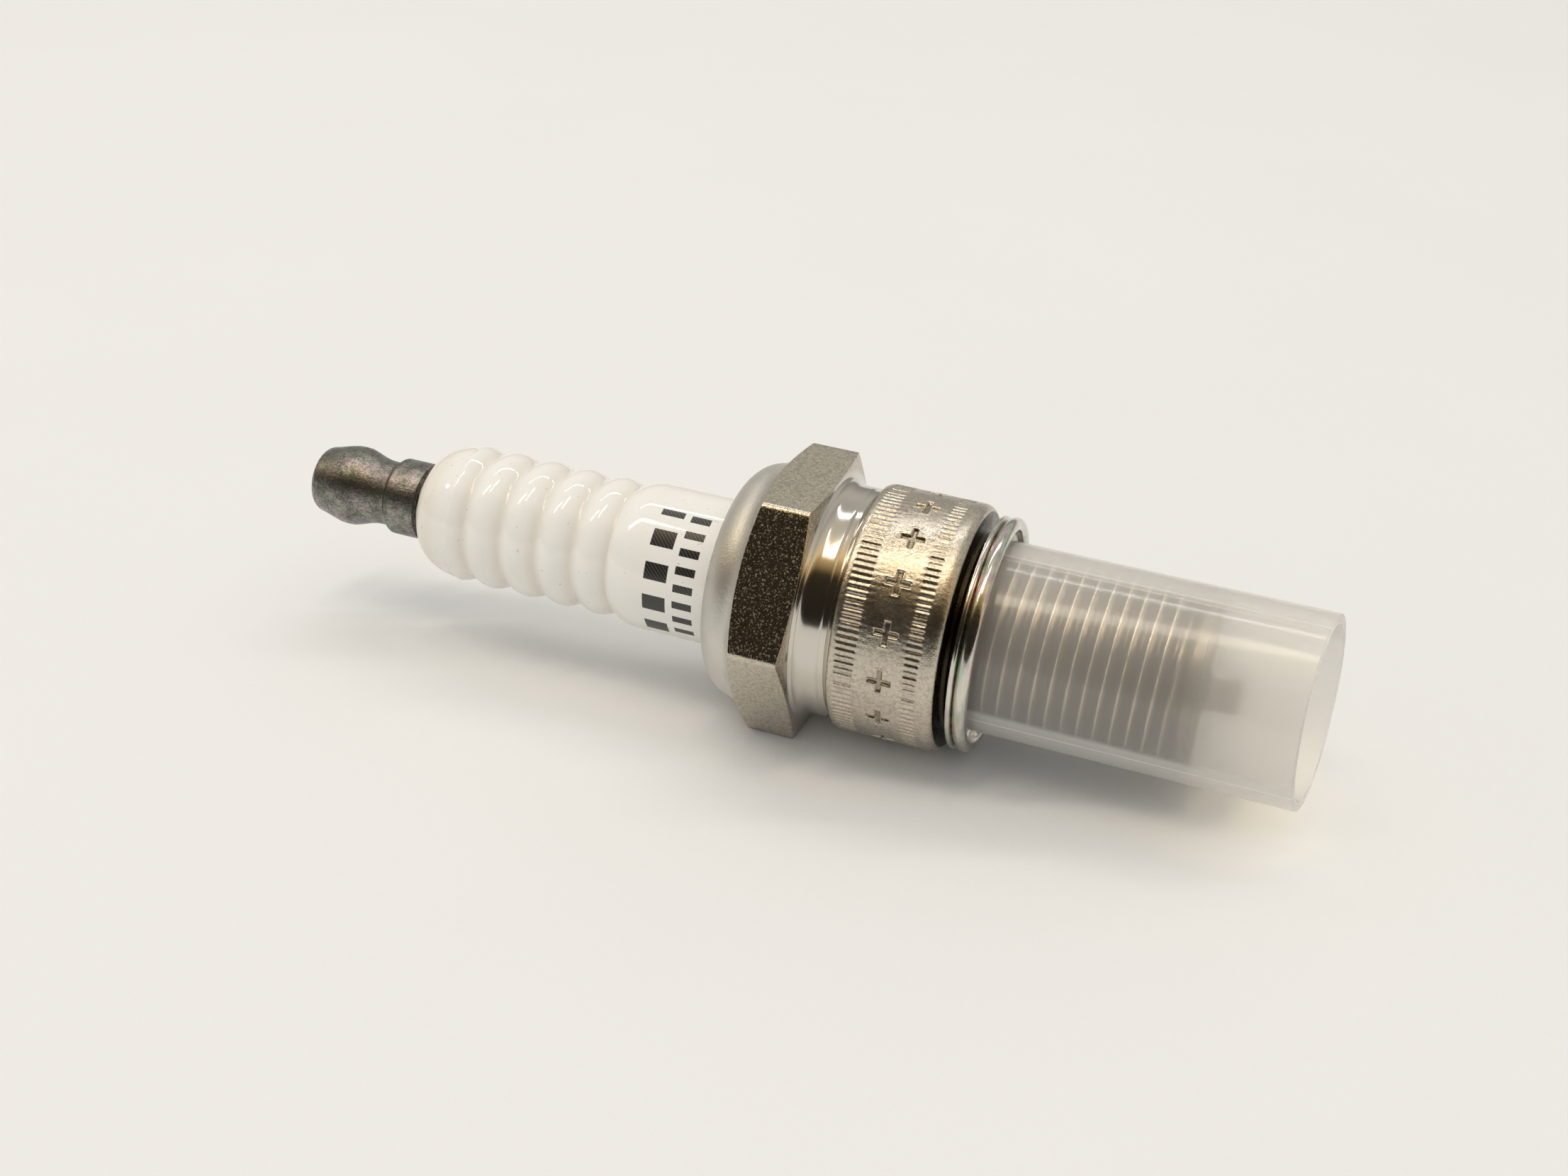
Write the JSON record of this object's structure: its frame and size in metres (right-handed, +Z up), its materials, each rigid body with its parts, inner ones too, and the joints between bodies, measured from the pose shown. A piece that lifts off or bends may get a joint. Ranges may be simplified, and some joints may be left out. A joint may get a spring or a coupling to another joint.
{
  "type": "spark plug",
  "caption": "Spark plug with ribbed glazed insulator, plated hexagon shell, crush gasket, removable terminal nut and a clear thread protector.",
  "frame": {"origin": "on the plug's axis, at the top of the terminal nut; the shell's gasket seat is 59.1 mm from it along +X", "axes": "+X along the plug's axis from the terminal to the firing end, the way the plug screws in; +Z up, square to the flat of the hexagon that the plug lies on"},
  "size_m": [0.0874, 0.024, 0.0208],
  "materials": {
    "terminal_nut": "dark grey blackened steel, semi-gloss, faintly mottled",
    "stud_steel": "bright turned steel",
    "glazed_insulator": "ivory white glossy glaze",
    "seal_glass": "fused dark conductive glass",
    "electrode_nickel": "satin nickel alloy",
    "copper": "bright copper",
    "shell_nickel": "nickel plate with a warm tint, grainy on the hexagon and flange, polished in the neck",
    "talc": "pressed white powder",
    "packing_steel": "soft steel wire and sheet",
    "gasket_zinc": "zinc plate with pale green and pink passivate tints",
    "clear_sleeve": "translucent soft plastic, faintly frosted"
  },
  "bodies": {
    "plug": {"shell": "shell_nickel", "insulator": "glazed_insulator", "terminal_stud": "stud_steel", "glass_seal": "seal_glass", "center_electrode": "electrode_nickel", "center_electrode_core": "copper", "talc_packing": "talc", "upper_packing_ring": "packing_steel", "lower_packing_ring": "packing_steel", "seat_washer": "packing_steel", "ground_electrode": "electrode_nickel"},
    "terminal_nut": {"terminal_nut": "terminal_nut"},
    "gasket": {"gasket": "gasket_zinc"},
    "thread_protector": {"thread_protector": "clear_sleeve"}
  },
  "joints": [
    {"name": "terminal_nut_release", "type": "slide", "parent": "plug", "child": "terminal_nut", "axis": [-1, 0, 0], "range_m": [0, 0.014]},
    {"name": "gasket_spin", "type": "hinge", "parent": "plug", "child": "gasket", "pos_m": [0.0601, 0, 0], "axis": [1, 0, 0], "continuous": true},
    {"name": "protector_release", "type": "slide", "parent": "plug", "child": "thread_protector", "axis": [1, 0, 0], "range_m": [0, 0.032]}
  ]
}
